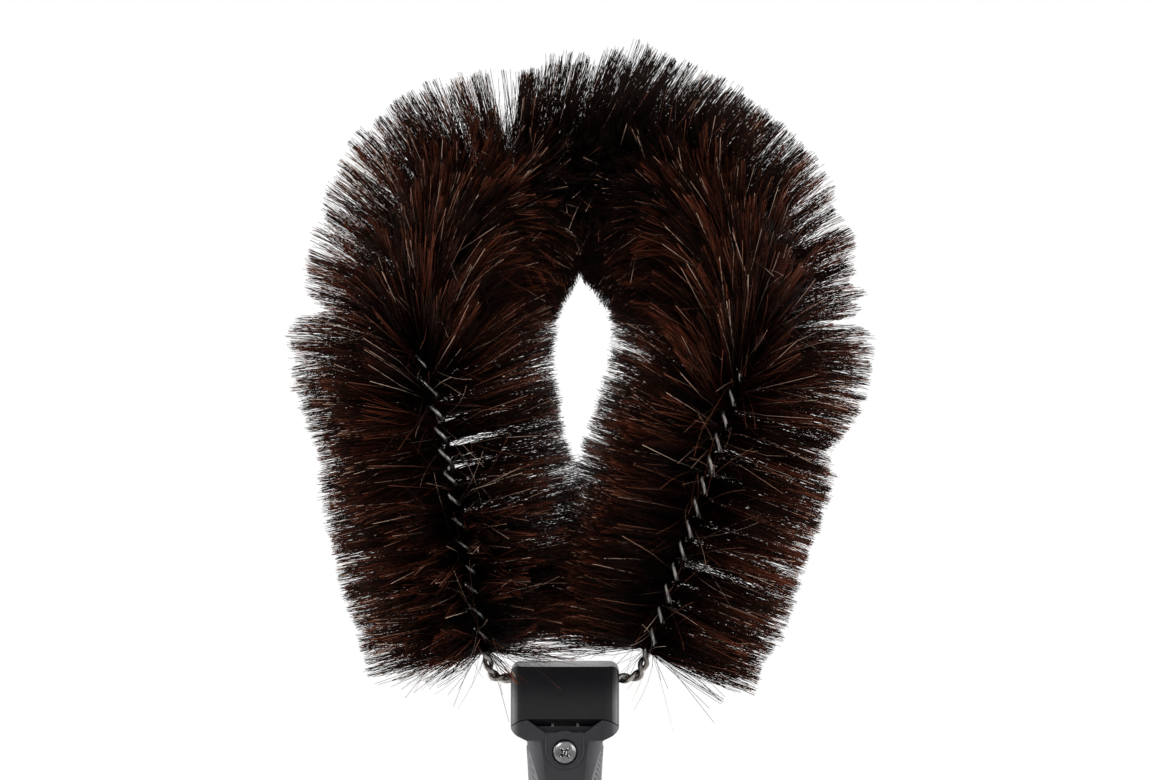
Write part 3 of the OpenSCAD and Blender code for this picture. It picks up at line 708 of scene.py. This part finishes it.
def make_clamp_screw(material):
    """Pan-head screw: a turned profile with the recess pressed into its crown."""
    crown = np.concatenate([np.linspace(0.02, 3, 30), np.linspace(3.1, 4.42, 16), [4.49]]) * MM
    share = np.clip(crown / SCREW_HEAD_R, 0, 1)
    height = HEAD_EDGE_H + CROWN_H * (1 - share ** 2.8) ** 0.6
    radius = np.concatenate([crown, [SCREW_HEAD_R, SCREW_HEAD_R, SCREW_R, SCREW_R, 0.02 * MM]])
    shank = [HEAD_UNDER_H, 0, 0, SCREW_SEAT_Y - SCREW_END_Y, SCREW_SEAT_Y - SCREW_END_Y]
    level = np.concatenate([height, shank])
    angle = np.linspace(0, 2 * math.pi, 144, endpoint=False)
    x = radius[:, None] * np.cos(angle)
    z = radius[:, None] * np.sin(angle)
    pressed = cross_recess(x, z)
    pressed[len(crown):] = 0
    y = SCREW_SEAT_Y - (level[:, None] - pressed)
    verts = np.stack([x, y, z + SCREW_Z], axis=-1).reshape(-1, 3)
    piece = closed_rings("clamp_screw_round", verts, len(radius), len(angle), material, True)
    # The recess depth also masks the painted shade and painted glints in the material
    put_attribute(piece, "pressed", np.clip(pressed / RECESS_SHADE_DEPTH, 0, 1).ravel())
    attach(piece, "handle")
    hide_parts("clamp_screw")


def soften_edges():
    """Small round on the sharp edges of the moulded parts."""
    for name in ("front_shell", "rear_shell", "head_front_shell", "head_rear_shell", "end_ring"):
        bevel = frame["nodes"][name].modifiers.new("soft_edge", "BEVEL")
        bevel.width = EDGE_ROUND
        bevel.segments = 2
        bevel.limit_method = "ANGLE"
        bevel.angle_limit = EDGE_ANGLE
        bevel.harden_normals = True


# Materials

def new_material(name, colour, roughness, metallic=0.0):
    material = bpy.data.materials.new(name)
    material.use_nodes = True
    shader = material.node_tree.nodes["Principled BSDF"]
    shader.inputs["Base Color"].default_value = (*colour, 1)
    shader.inputs["Roughness"].default_value = roughness
    shader.inputs["Metallic"].default_value = metallic
    return material, material.node_tree, shader


def grain_group():
    """Node group: fine grain and broad mottling for moulded or drawn surfaces."""
    tree = bpy.data.node_groups.new("surface_grain", "ShaderNodeTree")
    face = tree.interface
    for name, value in (("Fine Scale", 900.0), ("Broad Scale", 60.0), ("Stretch", 1.0)):
        socket = face.new_socket(name, in_out="INPUT", socket_type="NodeSocketFloat")
        socket.default_value = value
    face.new_socket("Fine", in_out="OUTPUT", socket_type="NodeSocketFloat")
    face.new_socket("Broad", in_out="OUTPUT", socket_type="NodeSocketFloat")
    nodes, links = tree.nodes, tree.links
    inside = nodes.new("NodeGroupInput")
    outside = nodes.new("NodeGroupOutput")
    place = nodes.new("ShaderNodeTexCoord")
    scale = nodes.new("ShaderNodeCombineXYZ")
    scale.inputs["X"].default_value = 1
    scale.inputs["Y"].default_value = 1
    links.new(inside.outputs["Stretch"], scale.inputs["Z"])
    stretched = nodes.new("ShaderNodeVectorMath")
    stretched.operation = "MULTIPLY"
    links.new(place.outputs["Object"], stretched.inputs[0])
    links.new(scale.outputs["Vector"], stretched.inputs[1])
    for name, detail in (("Fine", 3.0), ("Broad", 5.0)):
        noise = nodes.new("ShaderNodeTexNoise")
        noise.inputs["Detail"].default_value = detail
        links.new(inside.outputs[name + " Scale"], noise.inputs["Scale"])
        links.new(stretched.outputs["Vector"], noise.inputs["Vector"])
        links.new(noise.outputs["Fac"], outside.inputs[name])
    return tree


def add_grain(tree, group, fine_scale, broad_scale, stretch=1.0):
    node = tree.nodes.new("ShaderNodeGroup")
    node.node_tree = group
    node.inputs["Fine Scale"].default_value = fine_scale
    node.inputs["Broad Scale"].default_value = broad_scale
    node.inputs["Stretch"].default_value = stretch
    return node


def ramp(tree, source, stops):
    """Colour ramp from (place, colour) pairs, driven by a value socket."""
    node = tree.nodes.new("ShaderNodeValToRGB")
    elements = node.color_ramp.elements
    while len(elements) < len(stops):
        elements.new(0.5)
    for element, (place, colour) in zip(elements, stops):
        element.position = place
        element.color = (*colour, 1)
    tree.links.new(source, node.inputs["Fac"])
    return node.outputs["Color"]


def attribute(tree, name):
    node = tree.nodes.new("ShaderNodeAttribute")
    node.attribute_name = name
    return node.outputs["Fac"]


def math_node(tree, operation, first, second):
    node = tree.nodes.new("ShaderNodeMath")
    node.operation = operation
    tree.links.new(first, node.inputs[0])
    tree.links.new(second, node.inputs[1])
    return node.outputs["Value"]


def mix_colours(tree, first, second, blend="MIX", share=None):
    """Second colour laid over the first, wholly or by the share."""
    node = tree.nodes.new("ShaderNodeMix")
    node.data_type = "RGBA"
    node.blend_type = blend
    node.inputs["Factor"].default_value = 1.0
    if share is not None:
        tree.links.new(share, node.inputs["Factor"])
    tree.links.new(first, node.inputs["A"])
    if isinstance(second, tuple):
        node.inputs["B"].default_value = (*second, 1)
    else:
        tree.links.new(second, node.inputs["B"])
    return node.outputs["Result"]


def lay_over(material, share, second):
    """Lays a second colour over the material's own one where the share says so."""
    tree = material.node_tree
    base = tree.nodes["Principled BSDF"].inputs["Base Color"]
    plain = base.links[0].from_socket
    tree.links.new(mix_colours(tree, plain, second, share=share), base)


def mix_shaders(tree, share, first, second, surface):
    node = tree.nodes.new("ShaderNodeMixShader")
    tree.links.new(share, node.inputs["Fac"])
    tree.links.new(first, node.inputs[1])
    tree.links.new(second, node.inputs[2])
    tree.links.new(node.outputs["Shader"], surface)


def value_range(tree, source, low, high):
    node = tree.nodes.new("ShaderNodeMapRange")
    node.inputs["To Min"].default_value = low
    node.inputs["To Max"].default_value = high
    tree.links.new(source, node.inputs["Value"])
    return node.outputs["Result"]


def add_bump(tree, shader, source, strength, distance):
    node = tree.nodes.new("ShaderNodeBump")
    node.inputs["Strength"].default_value = strength
    node.inputs["Distance"].default_value = distance
    tree.links.new(source, node.inputs["Height"])
    tree.links.new(node.outputs["Normal"], shader.inputs["Normal"])


def horsehair(group):
    material, tree, shader = new_material("horsehair", (0.03, 0.015, 0.01), 0.42)
    shader.inputs["Specular IOR Level"].default_value = 0.065
    shader.inputs["Specular Tint"].default_value = (1.0, 0.62, 0.48, 1)
    colour = ramp(tree, attribute(tree, "tone"), [
        (0.0, (0.0012, 0.0007, 0.0006)), (0.45, (0.0030, 0.0012, 0.0009)),
        (0.66, (0.019, 0.0052, 0.0031)), (0.84, (0.090, 0.022, 0.0105)),
        (0.94, (0.19, 0.080, 0.050)), (1.0, (0.58, 0.46, 0.38))])
    # Painted shade: the colour is darkened towards each hair's root, deep in the brush, and
    # painted light lifts it a little at the tip
    painted_root_shade = ramp(tree, attribute(tree, "reach"), [
        (0.0, (0.10, 0.09, 0.09)), (0.35, (0.30, 0.28, 0.27)), (0.75, (0.95, 0.92, 0.9)),
        (1.0, (1.2, 1.1, 1.0))])
    colour_with_painted_shade = mix_colours(tree, colour, painted_root_shade, "MULTIPLY")
    tree.links.new(colour_with_painted_shade, shader.inputs["Base Color"])
    grain = add_grain(tree, group, 1500, 90)
    roughness = value_range(tree, grain.outputs["Fine"], 0.34, 0.52)
    tree.links.new(roughness, shader.inputs["Roughness"])
    return material


def moulded(group, name, dark, light, rough_low, rough_high, fine=1600, bump=0.00002):
    """Moulded plastic: mottled colour, uneven gloss and a fine spark texture."""
    material, tree, shader = new_material(name, dark, rough_low)
    shader.inputs["Specular IOR Level"].default_value = 0.17
    grain = add_grain(tree, group, fine, 45)
    tree.links.new(ramp(tree, grain.outputs["Broad"], [(0.3, dark), (0.75, light)]),
                   shader.inputs["Base Color"])
    tree.links.new(value_range(tree, grain.outputs["Broad"], rough_low, rough_high),
                   shader.inputs["Roughness"])
    add_bump(tree, shader, grain.outputs["Fine"], 0.35, bump)
    return material


def block_plastic(group):
    """Smooth black plastic with painted shade up at the hair, where its gloss is made duller and
    darker.
    """
    material = moulded(group, "block_plastic", (0.0045, 0.0045, 0.0055), (0.008, 0.008, 0.0095),
                       0.20, 0.30)
    tree = material.node_tree
    shader = tree.nodes["Principled BSDF"]
    place = tree.nodes.new("ShaderNodeTexCoord")
    parts = tree.nodes.new("ShaderNodeSeparateXYZ")
    tree.links.new(place.outputs["Object"], parts.inputs["Vector"])
    # Painted shade: the specular level is lowered up at the hair, so the block's top reflects less
    # of the white surroundings
    upward = tree.nodes.new("ShaderNodeMapRange")
    upward.interpolation_type = "SMOOTHSTEP"
    upward.inputs["From Min"].default_value = BLOCK_SHADE_FROM_Z
    upward.inputs["From Max"].default_value = BLOCK_SHADE_FULL_Z
    upward.inputs["To Min"].default_value = BLOCK_SPECULAR
    upward.inputs["To Max"].default_value = BLOCK_SHADED_SPECULAR
    tree.links.new(parts.outputs["Z"], upward.inputs["Value"])
    tree.links.new(upward.outputs["Result"], shader.inputs["Specular IOR Level"])
    return material


def soft_grip(group):
    """Matt soft plastic, with painted shade in the grooves between its ribs."""
    material = moulded(group, "soft_grip", (0.10, 0.10, 0.105), (0.145, 0.145, 0.151),
                       0.52, 0.70, 900, 0.00006)
    # Painted shade: the grooves are laid over with a near-black colour
    lay_over(material, attribute(material.node_tree, "groove_shade"), (0.022, 0.022, 0.024))
    return material


def metal(group, name, dark, light, rough_low, rough_high, stretch=1.0):
    material, tree, shader = new_material(name, light, rough_low, 1.0)
    grain = add_grain(tree, group, 1400, 240, stretch)
    tree.links.new(ramp(tree, grain.outputs["Broad"], [(0.3, dark), (0.65, light)]),
                   shader.inputs["Base Color"])
    tree.links.new(value_range(tree, grain.outputs["Fine"], rough_low, rough_high),
                   shader.inputs["Roughness"])
    add_bump(tree, shader, grain.outputs["Fine"], 0.3, 0.00002)
    return material


def zinc_steel(group):
    """Zinc plate, with painted shade in the pressed drive recess and painted glints as bright
    flecks on its walls.
    """
    material = metal(group, "zinc_steel", (0.085, 0.085, 0.088), (0.22, 0.22, 0.225), 0.16, 0.32)
    tree = material.node_tree
    grain = add_grain(tree, group, 1700, 240)
    # Painted shade in the recess, with painted glints as bright flecks on its walls
    recess_shade_and_glints = ramp(tree, grain.outputs["Fine"], [
        (0.47, (0.012, 0.012, 0.013)), (0.53, (0.05, 0.05, 0.052)), (0.58, (0.85, 0.85, 0.86))])
    lay_over(material, attribute(tree, "pressed"), recess_shade_and_glints)
    return material


def make_materials():
    group = grain_group()
    return {
        "horsehair": horsehair(group),
        "block_plastic": block_plastic(group),
        "hard_plastic": moulded(group, "hard_plastic", (0.018, 0.018, 0.0208),
                                (0.029, 0.029, 0.033), 0.28, 0.42),
        "soft_grip": soft_grip(group),
        "inner_plastic": moulded(group, "inner_plastic", (0.045, 0.045, 0.048),
                                 (0.06, 0.06, 0.063), 0.45, 0.6),
        "zinc_steel": zinc_steel(group),
        "core_wire": metal(group, "core_wire", (0.11, 0.103, 0.096), (0.32, 0.303, 0.282),
                           0.26, 0.42),
        "washer_brass": metal(group, "washer_brass", (0.45, 0.34, 0.16), (0.62, 0.49, 0.25),
                              0.3, 0.5),
    }


def dress_cad_nodes(materials):
    """Gives each CAD node the material of its slot in the record."""
    for part in frame["record"]["subparts"]:
        node = frame["nodes"][part["node"]]
        node.data.materials.clear()
        node.data.materials.append(materials[part["material_slot"]])


# Floor, light and camera

def make_floor():
    """Pale floor that takes the shadow and turns into the white background far out."""
    half = FLOOR_HALF
    verts = [(-half, -half, 0), (half, -half, 0), (half, half, 0), (-half, half, 0)]
    material, tree, shader = new_material("pale_floor", (0.86, 0.86, 0.86), 0.7)
    place = tree.nodes.new("ShaderNodeTexCoord")
    distance = tree.nodes.new("ShaderNodeVectorMath")
    distance.operation = "LENGTH"
    tree.links.new(place.outputs["Object"], distance.inputs[0])
    fade = tree.nodes.new("ShaderNodeMapRange")
    fade.interpolation_type = "SMOOTHSTEP"
    fade.inputs["From Min"].default_value = FADE_FROM
    fade.inputs["From Max"].default_value = FADE_TO
    tree.links.new(distance.outputs["Value"], fade.inputs["Value"])
    path = tree.nodes.new("ShaderNodeLightPath")
    seen = math_node(tree, "MAXIMUM", path.outputs["Is Camera Ray"], path.outputs["Is Glossy Ray"])
    share = math_node(tree, "MULTIPLY", seen, fade.outputs["Result"])
    white = tree.nodes.new("ShaderNodeEmission")
    surface = tree.nodes["Material Output"].inputs["Surface"]
    mix_shaders(tree, share, shader.outputs["BSDF"], white.outputs["Emission"], surface)
    floor = mesh_piece("floor", verts, [0, 1, 2, 3], [4], material, False)
    floor.location.z = FLOOR_Z


def make_world():
    """Soft light from all sides, seen as white itself and in metal and glass."""
    world = bpy.data.worlds.new("studio")
    world.use_nodes = True
    bpy.context.scene.world = world
    tree = world.node_tree
    light = tree.nodes["Background"]
    light.inputs["Color"].default_value = (1, 1, 1, 1)
    light.inputs["Strength"].default_value = WORLD_LIGHT
    white = tree.nodes.new("ShaderNodeBackground")
    white.inputs["Color"].default_value = (1, 1, 1, 1)
    path = tree.nodes.new("ShaderNodeLightPath")
    through = math_node(tree, "MAXIMUM", path.outputs["Is Glossy Ray"],
                        path.outputs["Is Transmission Ray"])
    seen = math_node(tree, "MAXIMUM", path.outputs["Is Camera Ray"], through)
    surface = tree.nodes["World Output"].inputs["Surface"]
    mix_shaders(tree, seen, light.outputs["Background"], white.outputs["Background"], surface)


def area_light(name, place, aim, size, power):
    data = bpy.data.lights.new(name, "AREA")
    data.shape = "SQUARE"
    data.size = size
    data.energy = power
    lamp = bpy.data.objects.new(name, data)
    lamp.location = place
    towards = np.array(aim, dtype=float) - np.array(place, dtype=float)
    lamp.rotation_euler = Vector(towards).to_track_quat("-Z", "Y").to_euler()
    COLLECTION.objects.link(lamp)


def make_lights():
    for name, place, aim, size, power in LAMPS:
        area_light(name, place, aim, size, power)


def make_camera():
    data = bpy.data.cameras.new("camera")
    data.sensor_width = SENSOR
    data.lens = SENSOR * CAMERA_DISTANCE / PHOTO_WIDTH
    camera = bpy.data.objects.new("camera", data)
    camera.location = (CAMERA_X, -CAMERA_DISTANCE, CAMERA_Z)
    camera.rotation_euler = (math.pi / 2, 0, 0)
    COLLECTION.objects.link(camera)
    bpy.context.scene.camera = camera


def make_all():
    bpy.context.scene.view_settings.view_transform = "Standard"
    materials = make_materials()
    make_camera()
    make_world()
    make_lights()
    make_floor()
    dress_cad_nodes(materials)
    make_wire("wire_a", 0.0, materials["core_wire"])
    make_wire("wire_b", math.pi, materials["core_wire"])
    make_hair(materials["horsehair"])
    grip_ribs(-1, materials["soft_grip"])
    grip_ribs(1, materials["soft_grip"])
    make_clamp_screw(materials["zinc_steel"])
    make_pad_lip(materials["hard_plastic"])
    soften_edges()


make_all()
